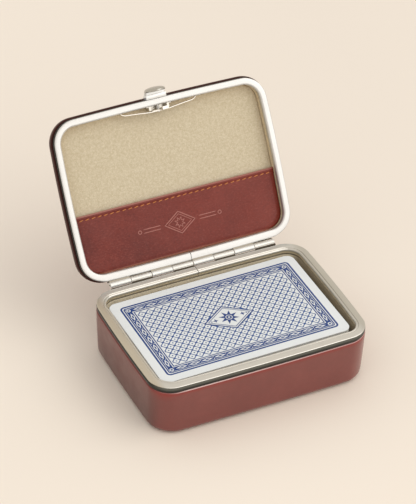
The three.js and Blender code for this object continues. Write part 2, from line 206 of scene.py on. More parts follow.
def turned(points, sides):
    """A surface turned about Z from a profile of radius and height."""
    angles = [2 * math.pi * i / sides for i in range(sides)]
    return skin([[(*around(0, 0, r, a), z) for a in angles] for r, z in points])


def moved(shape, move):
    return [move(*p) for p in shape[0]], shape[1]


def merged(*shapes):
    verts, faces = [], []
    for v, f in shapes:
        start = len(verts)
        verts += list(v)
        faces += [tuple(start + i for i in face) for face in f]
    return verts, faces


def clamped(t):
    return min(1.0, max(0.0, t))


def smooth(t):
    t = clamped(t)
    return t * t * (3 - 2 * t)


# Pieces

def added(name, data):
    obj = bpy.data.objects.new(name, data)
    bpy.context.scene.collection.objects.link(obj)
    return obj


def make(name, shape, sharp=None):
    """A mesh object, flat or else smooth up to a sharp angle."""
    verts, faces = shape
    mesh = bpy.data.meshes.new(name)
    mesh.from_pydata([(x * MM, y * MM, z * MM) for x, y, z in verts], [], faces)
    mesh.update()
    if sharp:
        mesh.polygons.foreach_set("use_smooth", [True] * len(mesh.polygons))
        mesh.set_sharp_from_angle(angle=math.radians(sharp))
    return added(name, mesh)


def clean(mesh):
    """Join points that coincide and turn the faces outwards."""
    bm = bmesh.new()
    bm.from_mesh(mesh)
    bmesh.ops.remove_doubles(bm, verts=bm.verts, dist=1e-7)
    bmesh.ops.recalc_face_normals(bm, faces=bm.faces)
    bm.to_mesh(mesh)
    bm.free()


def piece(name, shape, body, material, slot, *nodes, matrix=None, sharp=38, loose=False,
          bevel=None, bevel_angle=35):
    """A piece that rides on a body and stands for CAD nodes. A loose one isn't cleaned."""
    obj = make(name, shape, sharp)
    obj.matrix_world = matrix or PLACES[body]
    if not loose:
        clean(obj.data)
    if bevel:
        edges = obj.modifiers.new("edges", "BEVEL")
        edges.width = bevel * MM
        edges.segments = 2
        edges.limit_method = "ANGLE"
        edges.angle_limit = math.radians(bevel_angle)
    obj.data.materials.append(material)
    if nodes:
        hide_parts(*nodes)
    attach(obj, body)
    return obj


# Materials, with their places in metres

class Tree:
    """A node tree with short ways to add to it."""

    def __init__(self, tree):
        self.tree = tree

    def feed(self, socket, value):
        """Link a socket to another node's output, or set its value."""
        if hasattr(value, "links"):
            self.tree.links.new(value, socket)
        else:
            socket.default_value = (*value, 1) if socket.type == "RGBA" else value

    def add(self, kind, inputs=(), **settings):
        node = self.tree.nodes.new("ShaderNode" + kind)
        for name, value in settings.items():
            setattr(node, name, value)
        for name, value in dict(inputs).items():
            self.feed(node.inputs[name], value)
        return node

    def math(self, operation, a, b):
        return self.add("Math", {0: a, 1: b}, operation=operation).outputs[0]


class Nodes(Tree):
    """A material's node tree, in the object's own coordinates."""

    def __init__(self, name):
        self.material = bpy.data.materials.new(name)
        self.material.use_nodes = True
        super().__init__(self.material.node_tree)
        self.shader = self.tree.nodes["Principled BSDF"]
        self.place = self.add("TexCoord").outputs["Object"]

    def set(self, **values):
        """Set or link inputs of the shader."""
        for name, value in values.items():
            self.feed(self.shader.inputs[name.replace("_", " ")], value)

    def stretched(self, *scale):
        return self.add("Mapping", {"Vector": self.place, "Scale": scale}).outputs["Vector"]

    def noise(self, scale, detail, rough, vector=None):
        return self.add("TexNoise", {
            "Vector": vector or self.place, "Scale": scale, "Detail": detail, "Roughness": rough,
        }).outputs["Fac"]

    def cells(self, scale, feature="F1"):
        inputs = {"Vector": self.place, "Scale": scale}
        return self.add("TexVoronoi", inputs, feature=feature).outputs["Distance"]

    def ramp(self, value, *stops):
        node = self.add("ValToRGB", {"Fac": value})
        elements = node.color_ramp.elements
        while len(elements) < len(stops):
            elements.new(0.5)
        for element, (at, colour) in zip(elements, stops):
            element.position = at
            element.color = (*colour, 1)
        return node.outputs["Color"]

    def mix(self, amount, a, b):
        inputs = {"Factor": amount, "A": a, "B": b}
        return self.add("Mix", inputs, data_type="RGBA").outputs["Result"]

    def span(self, value, low, high, to_low=0.0, to_high=1.0):
        return self.add("MapRange", {
            "Value": value, "From Min": low, "From Max": high, "To Min": to_low, "To Max": to_high,
        }).outputs["Result"]

    def zone(self, axis, *limits):
        """A value that changes between two places along an axis."""
        return self.span(self.add("SeparateXYZ", {0: self.place}).outputs[axis], *limits)

    def tint(self, colour, *rows):
        """A colour that goes over into others, each by the product of its masks."""
        for other, mask, *masks in rows:
            for factor in masks:
                mask = self.math("MULTIPLY", mask, factor)
            colour = self.mix(mask, colour, other)
        return colour

    def bump(self, height, distance, strength, below=None):
        inputs = {"Height": height, "Distance": distance * MM, "Strength": strength}
        if below:
            inputs["Normal"] = below
        normal = self.add("Bump", inputs).outputs["Normal"]
        self.set(Normal=normal)
        return normal


def leather(name, shades, coat, crinkle=0.03, specks=0.28, rough=(0.28, 0.46)):
    """Smooth glazed calf with uneven dye, faint pores and waves. Returns its tree and colour."""
    n = Nodes(name)
    colour = n.ramp(n.noise(55, 4, 0.6), *zip((0.28, 0.52, 0.78), shades))
    fine = n.span(n.noise(420, 3, 0.6), 0.35, 0.7, 0.0, specks)
    colour = n.mix(fine, colour, tuple(c * 0.72 for c in shades[1]))
    n.set(
        Roughness=n.span(n.noise(70, 3, 0.6), 0.3, 0.72, *rough),
        Coat_Weight=coat, Coat_Roughness=0.12, Coat_IOR=1.55, Specular_IOR_Level=0.45,
    )
    waves = n.bump(n.noise(90, 2, 0.5), 0.16, 0.35)
    waves = n.bump(n.noise(300, 4, 0.62), crinkle, 0.6, waves)
    pores = n.bump(n.cells(1500, "SMOOTH_F1"), 0.05, 0.35, waves)
    n.bump(n.noise(5200, 2, 0.6), 0.012, 0.3, pores)
    return n, colour


def base_leather_material():
    """Painted shade on the left wall, darkest at its foot and its top, a painted highlight along
    the front's top edge and a painted red highlight at the top of the front-left corner.
    """
    shades = ((0.168, 0.035, 0.028), (0.19, 0.04, 0.032), (0.214, 0.049, 0.039))
    n, colour = leather("leather_base", shades, coat=0.45, specks=0.2)
    # Mask of the left wall, which gets painted shade and less coat.
    left = n.zone("X", -0.0478, -0.0505)
    # Mask of a painted red highlight at the top of the front-left corner.
    corner = (n.zone("X", -0.041, -0.047), n.zone("Y", -0.026, -0.033))
    # Masks of a painted highlight along the front's top edge, fading towards the right.
    painted_highlight = (n.zone("Z", 0.02266, 0.02282, 0.0, 0.8), n.zone("Y", -0.028, -0.033))
    highlight_fade_along_front = (n.zone("X", -0.03, 0.045, 1.0, 0.45), n.zone("X", -0.045, -0.037, 0.15, 1.0))
    colour = n.tint(
        colour,
        ((0.225, 0.014, 0.008), n.zone("Z", 0.0208, 0.0226)),
        # Painted shade on the left wall: all over, more towards its foot, and along its top.
        ((0.07, 0.014, 0.01), left, 0.32),
        ((0.045, 0.016, 0.013), left, n.zone("Z", 0.019, 0.003, 0.1, 0.5)),
        ((0.15, 0.012, 0.009), left, n.zone("Z", 0.0212, 0.0224, 0.0, 0.85)),
        # Painted red highlight at the top of the front-left corner.
        ((0.24, 0.016, 0.009), *corner, n.zone("Z", 0.0185, 0.0222, 0.05, 0.8)),
        # Painted highlight along the front's top edge.
        ((0.84, 0.6, 0.54), *painted_highlight, *highlight_fade_along_front),
    )
    coat = n.math("SUBTRACT", 0.45, n.math("MULTIPLY", left, 0.14))
    n.set(Base_Color=colour, Coat_Weight=coat)
    return n.material


def lid_leather_material():
    """Painted shade darkens it where the leather turns in under the rim, and it is matt there."""
    shades = ((0.172, 0.035, 0.028), (0.19, 0.04, 0.032), (0.21, 0.047, 0.038))
    n, colour = leather("leather_lid", shades, coat=0.0, rough=(0.33, 0.4))
    n.set(
        # Painted shade where the leather turns in under the rim.
        Base_Color=n.tint(colour, ((0.05, 0.014, 0.01), n.zone("Z", 0.0062, 0.0046))),
        Coat_Weight=n.zone("Z", 0.0066, 0.0084, 0.0, 0.42),
        Specular_IOR_Level=n.zone("Z", 0.0062, 0.0078, 0.15, 0.45),
    )
    return n.material


def pocket_leather_material(name, painted_ridge_highlight=0.0):
    """Finely grained, with painted highlights as pale lines along the turned edge and at the foot,
    and a painted sheen towards the right.
    """
    shades = ((0.118, 0.012, 0.0065), (0.165, 0.018, 0.0095), (0.21, 0.029, 0.016))
    n, colour = leather(name, shades, coat=0.08, crinkle=0.22)
    creases = n.noise(1, 5, 0.72, n.stretched(900, 1500, 900))
    colour = n.tint(
        colour,
        ((0.34, 0.1, 0.075), n.span(creases, 0.53, 0.68, 0.0, 0.3)),
        ((0.07, 0.008, 0.006), n.span(creases, 0.47, 0.34, 0.0, 0.5)),
        # Painted highlights: a pale line along the turned edge, and one at the foot.
        ((0.46, 0.2, 0.155), n.zone("Y", 0.0069, 0.0066, 0.0, 0.65)),
        ((0.5, 0.24, 0.17), n.zone("Y", 0.0321, 0.0326, 0.0, 0.6)),
        # Painted sheen, brighter towards the right.
        ((0.32, 0.045, 0.022), n.zone("X", -0.02, 0.04, 0.0, 0.2)),
    )
    # Painted highlight: the embossed mark's whole colour is mixed towards a pale pink.
    if painted_ridge_highlight:
        colour = n.mix(painted_ridge_highlight, colour, (0.6, 0.26, 0.21))
    n.set(Base_Color=colour, Specular_IOR_Level=0.27)
    return n.material


def marks(n, detail, *stops):
    """Two close tones of plate, with faint marks of handling."""
    return n.ramp(n.noise(1, detail, 0.6, n.stretched(60, 60, 60)), *zip((0.3, 0.7), stops))


def satin(n, metal, low, high):
    """The gloss of a plate that is only partly metal: even, and less than polished."""
    n.set(Metallic=metal, Roughness=n.span(n.noise(40, 1, 0.5), 0.3, 0.7, low, high))


def nickel(name, colour=(0.79, 0.76, 0.70), rough=0.17, metal=1.0, painted_crevice_shade=None):
    """Nickel plate, polished where it is all metal, and on the hinge with painted shade in the
    narrow gaps beside its barrels.
    """
    n = Nodes(name)
    plate = marks(n, 4, tuple(c * 0.94 for c in colour), colour)
    if painted_crevice_shade:
        plate = n.tint(plate, (painted_crevice_shade, n.zone("Y", -0.001, -0.00116)))
    n.set(Base_Color=plate)
    if metal < 1.0:
        satin(n, metal, rough * 0.95, rough * 1.05)
        return n.material
    gloss = n.span(n.noise(500, 3, 0.6), 0.3, 0.7, rough * 0.85, rough * 1.2)
    n.set(Metallic=metal, Roughness=gloss)
    n.bump(n.noise(300, 2, 0.5), 0.004, 0.2)
    return n.material


def rim_material():
    """Satin nickel, warmer along the left and right sides, with a painted highlight on its front
    lip.
    """
    n = Nodes("nickel_rim")
    satin(n, 0.45, 0.285, 0.315)
    colour = marks(n, 3, (0.6, 0.572, 0.508), (0.635, 0.606, 0.538))
    n.set(Base_Color=n.tint(
        colour,
        ((0.55, 0.485, 0.375), n.zone("X", -0.0455, -0.0485)),
        ((0.5, 0.468, 0.395), n.zone("X", 0.0455, 0.0485)),
        # Painted highlight on the front lip.
        ((0.9, 0.87, 0.8), n.zone("Z", 0.025775, 0.02572), n.zone("Y", -0.033, -0.0345)),
    ))
    return n.material


def flange_material():
    """The rim's inner flange in a tan tone, with painted shade along its upper corner and a painted
    shadow under its foot at the rear.
    """
    n = Nodes("flange_tan")
    satin(n, 0.4, 0.34, 0.38)
    colour = marks(n, 4, (0.77, 0.65, 0.44), (0.82, 0.69, 0.47))
    rear = n.zone("Y", 0.02, 0.028)
    n.set(Base_Color=n.tint(
        colour,
        # Painted shade along the upper corner, and a painted shadow under the foot, at the rear.
        ((0.16, 0.125, 0.075), n.zone("Z", 0.02395, 0.02425, 0.0, 0.6), rear),
        ((0.09, 0.07, 0.04), n.zone("Z", 0.02335, 0.02315, 0.0, 0.85), rear),
    ))
    return n.material


def dark_band(name, painted_highlight=False):
    """Dark metal; on the base a painted highlight of grey beside the front rim."""
    n = Nodes(name)
    wear = n.noise(80, 3, 0.6)
    colour = n.ramp(wear, (0.3, (0.022, 0.024, 0.022)), (0.75, (0.05, 0.054, 0.049)))
    if painted_highlight:
        # Painted highlight: the band turns grey towards its top along the front.
        front = (n.zone("Z", 0.024, 0.0251), n.zone("Y", -0.028, -0.034))
        colour = n.tint(colour, ((0.14, 0.142, 0.128), *front))
    n.set(Metallic=0.85, Base_Color=colour, Roughness=n.span(wear, 0.2, 0.8, 0.26, 0.42))
    n.bump(n.noise(1, 2, 0.5, n.stretched(120, 120, 3600)), 0.01, 0.35)
    return n.material


def felt(name, dark, mid, light, wall=False):
    """Short flocked cloth: mottled and matt. The base's wall has painted light at the rear, painted
    shade on its right side and a painted shadow under the flange at the rear.
    """
    n = Nodes(name)
    patches = n.noise(820, 4, 0.72)
    fibres = n.noise(2100, 3, 0.7)
    colour = n.ramp(patches, (0.3, dark), (0.52, mid), (0.75, light))
    flecks = n.span(fibres, 0.52, 0.68, 0.0, 0.75)
    colour = n.mix(flecks, colour, tuple(min(1.0, c * 1.15) for c in light))
    hollows = n.span(n.noise(1300, 3, 0.6), 0.36, 0.48, 0.5, 0.0)
    colour = n.mix(hollows, colour, dark)
    if wall:
        painted_light_rear = (n.zone("Y", 0.02, 0.031, 0.0, 0.8), n.zone("Z", 0.01, 0.021, 0.3, 1.0))
        painted_shadow_under_flange = (n.zone("Z", 0.02245, 0.0227, 0.0, 0.85), n.zone("Y", 0.02, 0.028))
        # Painted shade on the right wall.
        right = n.zone("X", 0.044, 0.0465, 0.0, 0.6)
        colour = n.tint(
            colour, ((0.95, 0.83, 0.62), *painted_light_rear), ((0.2, 0.14, 0.07), right),
            ((0.09, 0.065, 0.035), *painted_shadow_under_flange),
        )
    n.set(
        Base_Color=colour, Roughness=0.95, Specular_IOR_Level=0.15,
        Sheen_Weight=0.25, Sheen_Roughness=0.5,
    )
    n.bump(fibres, 0.09, 0.7, n.bump(patches, 0.08, 0.5))
    return n.material


def card_stock():
    """White coated card with the faint dimples of playing cards."""
    n = Nodes("card_stock")
    tone = n.noise(40, 2, 0.5)
    colour = n.ramp(tone, (0.35, (0.718, 0.72, 0.692)), (0.7, (0.756, 0.756, 0.726)))
    n.set(Base_Color=colour, Roughness=n.span(tone, 0.3, 0.7, 0.42, 0.5))
    n.bump(n.cells(1500), 0.01, 0.25)
    return n.material


def fibrous(name, scale, noise_rough, stops, rough, bump):
    """A matt stuff with one pattern for its colour and its relief."""
    n = Nodes(name)
    tone = n.noise(1, 2, noise_rough, n.stretched(*scale))
    n.set(Base_Color=n.ramp(tone, *stops), Roughness=rough)
    n.bump(tone, *bump)
    return n.material


def ink(name, dark, light):
    """Printing ink, slightly uneven."""
    n = Nodes(name)
    n.set(
        Base_Color=n.ramp(n.noise(900, 3, 0.6), (0.35, dark), (0.7, light)),
        Roughness=n.span(n.noise(600, 2, 0.5), 0.3, 0.7, 0.4, 0.5),
    )
    return n.material


def board():
    n = Nodes("board")
    colour = n.ramp(n.noise(900, 5, 0.7), (0.3, (0.24, 0.18, 0.1)), (0.7, (0.36, 0.28, 0.17)))
    n.set(Base_Color=colour, Roughness=0.9)
    n.bump(n.noise(2600, 3, 0.6), 0.03, 0.5)
    return n.material


LEATHER_BASE = base_leather_material()
LEATHER_LID = lid_leather_material()
LEATHER_POCKET = pocket_leather_material("leather_pocket")
LEATHER_MARK_HIGHLIGHTED = pocket_leather_material("leather_mark_painted_highlight", 0.55)
NICKEL = nickel("nickel")
NICKEL_HINGE = nickel("nickel_hinge", (0.86, 0.835, 0.775), 0.28, 0.4, (0.08, 0.06, 0.038))
NICKEL_LID_HINGE = nickel("nickel_lid_hinge", (0.86, 0.845, 0.8), 0.28, 0.4, (0.34, 0.3, 0.24))
# The pin is painted dark as shade in the gaps between the knuckles.
PIN_PAINTED_SHADE = nickel("pin_painted_shade", (0.2, 0.165, 0.115), 0.4, 0.6)
NICKEL_BUTTON = nickel("nickel_button", (0.52, 0.52, 0.49), 0.24)
NICKEL_RIM = rim_material()
# Brighter plate for the rear bead: partly its polish, partly a painted highlight.
NICKEL_BEAD = nickel("nickel_bead", (0.9, 0.875, 0.81), 0.36, 0.6)
NICKEL_LID = nickel("nickel_lid_rim", (0.69, 0.688, 0.672), 0.3, 0.65)
NICKEL_BLOCK = nickel("nickel_block", (0.86, 0.86, 0.84), 0.3, 0.5)
NICKEL_BRACKET = nickel("nickel_bracket", (0.6, 0.58, 0.53), 0.24)
FLANGE = flange_material()
STEEL = nickel("spring_steel", (0.74, 0.71, 0.66), 0.22)
DARK_LID = dark_band("dark_band_lid")
DARK_BASE = dark_band("dark_band_base", painted_highlight=True)
TAN_SHADES = ((0.5, 0.38, 0.21), (0.62, 0.49, 0.29), (0.74, 0.6, 0.4))
TAN = felt("tan_lining", *TAN_SHADES)
TAN_WALL = felt("tan_wall_lining", *TAN_SHADES, wall=True)
BEIGE = felt("beige_lining", (0.51, 0.415, 0.265), (0.585, 0.485, 0.33), (0.655, 0.56, 0.4))
STOCK = card_stock()
CUT_TONES = ((0.32, (0.55, 0.55, 0.53)), (0.6, (0.8, 0.8, 0.78)))
EDGES = fibrous("card_edges", (90, 90, 3300), 0.6, CUT_TONES, 0.7, (0.03, 0.4))
BLUE = ink("blue_ink", (0.016, 0.065, 0.22), (0.026, 0.085, 0.27))
NAVY = ink("navy_ink", (0.006, 0.04, 0.18), (0.01, 0.052, 0.21))
BOARD = board()
TWIST_TONES = ((0.3, (0.4, 0.12, 0.025)), (0.7, (0.63, 0.22, 0.06)))
THREAD = fibrous("thread", (2600, 2600, 2600), 0.5, TWIST_TONES, 0.55, (0.05, 0.6))


# Base

def soft_wall(x, y, z):
    """Leather pulled over the board: fuller at mid height, drawn in at the foot and its corners."""
    t = clamped(z / (HEIGHT - LEATHER_EDGE))
    corner = smooth((abs(x) - 38) / 8) * smooth((abs(y) - 24) / 8)
    swell = 0.1 * math.sin(math.pi * t) - 0.5 * (1 - t) - 0.65 * corner * (1 - t) ** 1.2
    length = math.hypot(x, y)
    return (x * (1 + swell / length), y * (1 + swell / length), z)


def base_leather():
    top = HEIGHT - LEATHER_EDGE
    profile = (
        arc(3.2, 3.2, 3.2, 270, 180, 10)
        + [(0, z) for z in (6, 9, 12, 15, 18, 20)]
        + arc(0.8, top - 0.8, 0.8, 180, 90, 8)
        + [(1.1, top - 0.02), (1.1, top - 4)]
    )
    shape = skin(outline_rows(profile, soft_wall), cap_first=True)
    piece("base_leather", shape, "base", LEATHER_BASE, "leather", "base_leather_cover",
          sharp=60, loose=True)


def rim_profile(width, flange, bead=False):
    """The channel of a rim that faces up, its top at zero, in the base with a bead inside."""
    if bead:
        top = [(width - 0.7, -flange), (width - 0.28, -flange), (width - 0.25, -flange + 0.05)]
        top += [(width - 0.25, -1.3), (width - 0.25, -1.2)]
        top += arc(width - 0.55, -0.66, 0.55, -50, 140, 14)
        top += [(width - 1.06, -0.42), (width - 1.14, -0.24)]
        top += [(width - 1.26, -0.05), (width - 1.4, -0.01)]
    else:
        top = [(width - 0.7, -flange), (width - 0.1, -flange), (width, -flange + 0.1)]
        top += arc(width - 0.8, -0.8, 0.8, 0, 90, 8)
    return (
        top
        + [(width * 0.5, 0.0), (0.62, 0.0), (0.46, -0.03), (0.33, -0.09), (0.23, -0.18)]
        + [(0.2, -RIM_THICK + 0.05), (0.25, -RIM_THICK), (width - 0.7, -RIM_THICK)]
    )


def reach_in(x, y, inset):
    """The base's rim stands further in along the front, and its inner part on the left side."""
    inner = smooth((inset - 0.6) / 2.2)
    front = smooth((-24 - y) / 6) * smooth((47 - x) / 8)
    left = smooth((-38 - x) / 6) * smooth((28 - y) / 8)
    back = RIM_SETBACK + (RIM_REACH - RIM_SETBACK) * inner
    return (x + RIM_REACH * inner * 0.75 * left, y + back * front)


def catch(x, y, z):
    """The front flange is cut away below its bead where the latch's nose comes through."""
    if y < FRONT + 6 and -1.5 < x < 5.2 and z < HEIGHT - 1.7:
        z = HEIGHT - 1.55
    return (x, y, z)


def base_frame():
    profile = [(i, z + HEIGHT) for i, z in rim_profile(BASE_RIM, BASE_FLANGE, bead=True)]
    shape = moved(open_ring(profile, reach_in, 40), catch)
    obj = piece("base_rim", shape, "base", NICKEL_RIM, "nickel", "base_frame", sharp=50)
    obj.data.materials.append(FLANGE)
    obj.data.materials.append(NICKEL_BEAD)
    for face in obj.data.polygons:
        x, y, z = face.center / MM
        rear = 28 < y < DEPTH / 2 - 2.9 and abs(x) < 43
        if HEIGHT - BASE_FLANGE + 0.1 < z < HEIGHT - 1.3:
            face.material_index = 1
        # At the rear the bead gets the brighter plate, partly its polish and partly a painted
        # highlight.
        elif rear and HEIGHT - 0.9 < z < HEIGHT - 0.09:
            face.material_index = 2


def band(body, direction, level, flare):
    """The dark band: a half-round strip that meets the leather's padded side."""
    top, low = -RIM_THICK + 0.1, -LEATHER_EDGE - 0.4
    profile = [(1.0, top), (0.3, top)]
    for k in range(9):
        t = k / 8
        z = -RIM_THICK - 0.12 - t * (LEATHER_EDGE - RIM_THICK - 0.3)
        profile.append((0.3 - 0.22 * math.sin(math.pi * t) ** 0.7 - flare * t, z))
    profile += [(0.45 - flare, -LEATHER_EDGE), (0.45 - flare, low), (1.0, low)]
    profile = [(i, level + direction * z) for i, z in profile]
    rows = outline_rows(profile, round_block if flare else None, 60)
    piece(body + "_dark_band", skin(rows, wrap_rows=True), body, DARK_LID if flare else DARK_BASE,
          "dark_nickel", body + "_trim_band", sharp=30)


def wall_lining(body, material, near, far, start, end):
    rows = outline_rows([(near, start), (near, end), (far, end), (far, start)])
    piece(body + "_wall_cloth", skin(rows, wrap_rows=True), body, material, "tan_lining",
          body + "_wall_lining", sharp=30)


def floor_pad():
    """The padded floor, crowned a little and tucked in at its edge."""
    profile = [(4.3, FLOOR_TOP + 0.1)] + arc(5.3, PAD_TOP - 1.15, 1.0, 180, 90, 8)
    for inset in (7, 9, 12, 15, 17.5):
        crown = 0.12 * math.sin(min(1.0, (inset - 5.3) / 10) * math.pi / 2)
        profile.append((min(inset, CORNER - 0.4), PAD_TOP - 0.15 + crown))
    rows = []
    for inset, z in profile:
        shrink = max(0.0, inset - PAD_ROUND)
        sx = 1 - shrink / (LENGTH / 2 - PAD_ROUND)
        sy = 1 - shrink / (DEPTH / 2 - PAD_ROUND)
        rows.append([(x * sx, y * sy, z) for x, y in outline(min(inset, PAD_ROUND))])
    obj = piece("floor_cushion", capped(rows), "base", TAN, "tan_lining", "base_floor_pad",
                sharp=60)


# Lid

def round_block(x, y, z):
    """The lid's leather and band drawn in where the latch's block stands."""
    if y > FRONT + 0.5 or z > 4.4:
        return (x, y, z)
    keep = max(clamped((abs(x) - 5.5) / 1.6), clamped((z - 3.45) / 0.5))
    return (x, max(y, FRONT - 0.05 - (LID_SWELL + 0.1) * keep), z)


def shrunk(points, shares, height):
    """Rows towards the middle of a face, at a height that depends on each row's share."""
    return [[(x * share, y * share, height(share)) for x, y in points] for share in shares]


def lid_leather():
    edge, top = LEATHER_EDGE, LID_HEIGHT
    profile = (
        [(1.05, edge + 3.2), (1.05, edge + 0.02), (0.3, edge + 0.02)]
        + arc(0.6 - LID_SWELL, edge + 0.6, 0.6, 270, 180, 8)
        + arc(LID_ROUND - LID_SWELL, top - LID_ROUND, LID_ROUND, 180, 90, 14)
        + [(4.5, top + 0.03), (7, top + 0.07)]
    )
    rows = outline_rows(profile, round_block, 60)
    rows += shrunk(outline(7, 60), (0.8, 0.6, 0.4, 0.2),
                   lambda share: top + (0.07 + 0.1 * (1 - share)))
    piece("lid_leather", skin(rows, cap_last=True), "lid", LEATHER_LID, "leather",
          "lid_leather_cover", sharp=60, loose=True)


def reach_out(x, y, inset):
    """The lid's rim stands out a little further beside the hinge."""
    outer = 0.38 * (1 - smooth((inset - 0.2) / 1.4))
    return (x, y + outer * smooth((y - 31) / 4) * smooth((44 - abs(x)) / 4))


def lid_frame():
    profile = [(i, -z) for i, z in rim_profile(LID_RIM, LID_FLANGE)]
    piece("lid_rim", open_ring(profile, reach_out), "lid", NICKEL_LID, "nickel", "lid_frame",
          sharp=50)


def lid_panel():
    rows = outline_rows([
        (3.05, PANEL_TOP), (3.05, PANEL_FACE + 0.3), (3.2, PANEL_FACE + 0.08), (3.6, PANEL_FACE),
    ])
    rows += shrunk(outline(3.6), (0.9, 0.7, 0.5, 0.3), lambda share: PANEL_FACE - 0.05)
    piece("lid_panel_cloth", capped(rows), "lid", BEIGE, "beige_lining", "lid_lining_panel",
          sharp=60)


def pocket_half_width(y):
    """Half the pocket's width at one place along the lid."""
    if y <= CENTRE_Y:
        return CENTRE_X + POCKET_CORNER + BOW * (1 - (y / CENTRE_Y) ** 2)
    return CENTRE_X + math.sqrt(max(0.0, POCKET_CORNER**2 - (y - CENTRE_Y) ** 2))


def pocket_margin(x, y):
    """The distance in from the pocket's glued sides."""
    if abs(x) > CENTRE_X and y > CENTRE_Y:
        return POCKET_CORNER - math.hypot(abs(x) - CENTRE_X, y - CENTRE_Y)
    return min(pocket_half_width(y) - abs(x), POCKET_REAR - y)


def pocket_height(x, y):
    """How far the pocket's face stands from the lid's rim plane."""
    margin = pocket_margin(x, y)
    fullness = min(1.0, max(0.0, margin) / 9.0)
    puff = 0.3 * fullness * (2 - fullness)
    crease = 0.05 * math.exp(-((margin - 1.4) / 0.4) ** 2)
    sunk = 0.45 * math.exp(-max(0.0, margin) / 0.35)
    return 3.75 - puff + crease + sunk


def spread(t):
    """A place from -1 to 1, moved towards the nearer end."""
    return 0.35 * t + 0.65 * math.sin(math.pi / 2 * t)


def pocket():
    """The turned edge from its inside to its foot, and from there the face to the rear."""
    edge, columns, steps = POCKET_EDGE, 150, 60
    path = [(edge + 1.3, 4.55), (edge + 0.3, 4.5)]
    path += [(edge + 0.62 + dy, 3.86 + dz) for dy, dz in arc(0, 0, 0.62, 130, 265, 9)]
    path += [(edge + 1.2, 3.3), (edge + 1.6, 3.36), (edge + 1.85, 3.5), (edge + 2.0, 3.56)]
    path += [(edge + 2.15, 3.5), (edge + 2.45, 3.42)]
    across = [spread(-1 + 2 * j / columns) for j in range(columns + 1)]
    rows = []
    for y, z in path:
        half = pocket_half_width(y)
        rows.append([(half * s, y, z + 0.35 * abs(s) ** 60) for s in across])
    start = edge + 3.2
    for i in range(steps + 1):
        t = i / steps
        y = start + (POCKET_REAR - 0.02 - start) * (0.3 * t + 0.7 * math.sin(math.pi / 2 * t))
        half = pocket_half_width(y)
        rows.append([(half * s, y, pocket_height(half * s, y)) for s in across])
    verts, faces = skin(rows, wrap_columns=False)
    shape = (verts, [face[::-1] for face in faces])
    obj = piece("pocket_leather", shape, "lid", LEATHER_POCKET, "leather", "pocket_panel",
                sharp=75, loose=True)
    solid = obj.modifiers.new("thickness", "SOLIDIFY")
    solid.thickness = 0.5 * MM
    solid.offset = -1


def stitches():
    """A row of slanted stitches along the pocket's edge, each sunk at its ends."""
    pitch, length, count, sides = 2.9, 2.15, 32, 10
    y0 = POCKET_EDGE + 2.0
    parts = []
    for i in range(count):
        x0 = (i - (count - 1) / 2) * pitch
        if abs(x0) > pocket_half_width(y0) - 1.2:
            continue
        rows = []
        for k in range(7):
            t = -1 + 2 * k / 6
            r = 0.24 * math.sqrt(max(0.05, 1 - t**6))
            middle = (y0 - t * 0.2, 3.5 + 0.16 * t * t)
            rows.append([
                (x0 + t * length / 2, *around(*middle, r, 2 * math.pi * m / sides))
                for m in range(sides)
            ])
        parts.append(capped(rows))
    piece("pocket_stitches", merged(*parts), "lid", THREAD, "leather", sharp=80)


def ridge(path, radius=0.26, closed=True):
    """A raised line on the pocket's face, half sunk into the leather."""
    count, sides = len(path), 8
    rows = []
    for i, (x, y) in enumerate(path):
        ahead = path[(i + 1) % count] if closed or i < count - 1 else path[i]
        behind = path[i - 1] if closed or i > 0 else path[i]
        dx, dy = ahead[0] - behind[0], ahead[1] - behind[1]
        length = math.hypot(dx, dy) or 1.0
        nx, ny = -dy / length, dx / length
        ends = 0.35 if not closed and i in (0, count - 1) else 1.0
        level = pocket_height(x, y) + 0.04
        row = []
        for k in range(sides):
            side, rise = around(0, 0, radius * ends, 2 * math.pi * k / sides)
            row.append((x + nx * side, y + ny * side, level + rise))
        rows.append(row)
    return skin(rows, wrap_rows=True) if closed else capped(rows)


def along(points, steps=6):
    """Points spread along a closed outline."""
    path = []
    for i, (x0, y0) in enumerate(points):
        x1, y1 = points[(i + 1) % len(points)]
        path += [(x0 + (x1 - x0) * k / steps, y0 + (y1 - y0) * k / steps) for k in range(steps)]
    return path


def star(x, y, outer, inner, points, turn=0.0):
    return [
        around(x, y, inner if i % 2 else outer, turn + math.pi * i / points)
        for i in range(points * 2)
    ]


def embossing():
    """A plain embossed mark: a lozenge with a star, between two pairs of lines."""
    cx, cy = -0.5, 19.5
    start, end = 9.2, 17.5
    parts = []
    for a, b, radius in ((7.2, 4.9, 0.26), (5.6, 3.8, 0.16)):
        corners = [(cx + a, cy), (cx, cy + b), (cx - a, cy), (cx, cy - b)]
        parts.append(ridge(along(corners), radius))
    parts.append(ridge(along(star(cx, cy, 2.5, 1.15, 8, math.pi / 8), 3), 0.2))
    for sign in (-1, 1):
        for offset in (-0.75, 0.75):
            line = [
                (cx + sign * (start + (end - start) * k / 10), cy + offset) for k in range(11)
            ]
            parts.append(ridge(line, 0.22, closed=False))
        dot = [around(cx + sign * 19.2, cy, 0.75, 2 * math.pi * k / 14) for k in range(14)]
        parts.append(ridge(dot, 0.22))
    piece("pocket_embossing", merged(*parts), "lid", LEATHER_MARK_HIGHLIGHTED, "leather", sharp=80)


# Hinge

def knuckle_section(side):
    """The curl of one knuckle with its web to the rim, for the half on that side of the pin."""
    radius = BARREL if side > 0 else BARREL - 0.1
    web_near, web_far, reach = 0.1, 0.6, -1.95
    start = 180 - math.degrees(math.asin(web_far / radius))
    points = [(reach, web_near), (reach, web_far)]
    points += arc(0, 0, radius, start, -160, 30)
    points += [around(0, 0, radius * 0.86, math.radians(-163)), (-radius * 0.9, web_near)]
    points = [(y, z * side) for y, z in points]
    return points if side < 0 else points[::-1]


